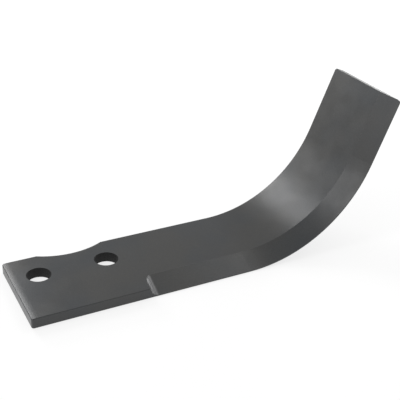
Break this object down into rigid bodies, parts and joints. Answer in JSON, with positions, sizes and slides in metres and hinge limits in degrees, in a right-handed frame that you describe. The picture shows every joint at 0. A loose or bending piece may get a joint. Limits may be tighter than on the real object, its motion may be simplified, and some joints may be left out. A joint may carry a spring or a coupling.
{
  "type": "rotary tiller blade",
  "caption": "Curved rotary tiller blade cut from flat steel bar: a two-bolt mounting end with a scalloped back edge, one broad upward bend and a one-sided bevelled cutting edge.",
  "frame": {"origin": "midway between the two bolt holes, on the flat seating face under the mounting end", "axes": "+X along the bar towards the bent tip, +Z out of the seating face into the bar, the cutting edge on the -Y side"},
  "size_m": [0.2354, 0.06, 0.0991],
  "materials": {
    "painted_steel": "satin charcoal black paint over steel"
  },
  "bodies": {
    "root": {"tiller_blade": "painted_steel"}
  },
  "joints": []
}
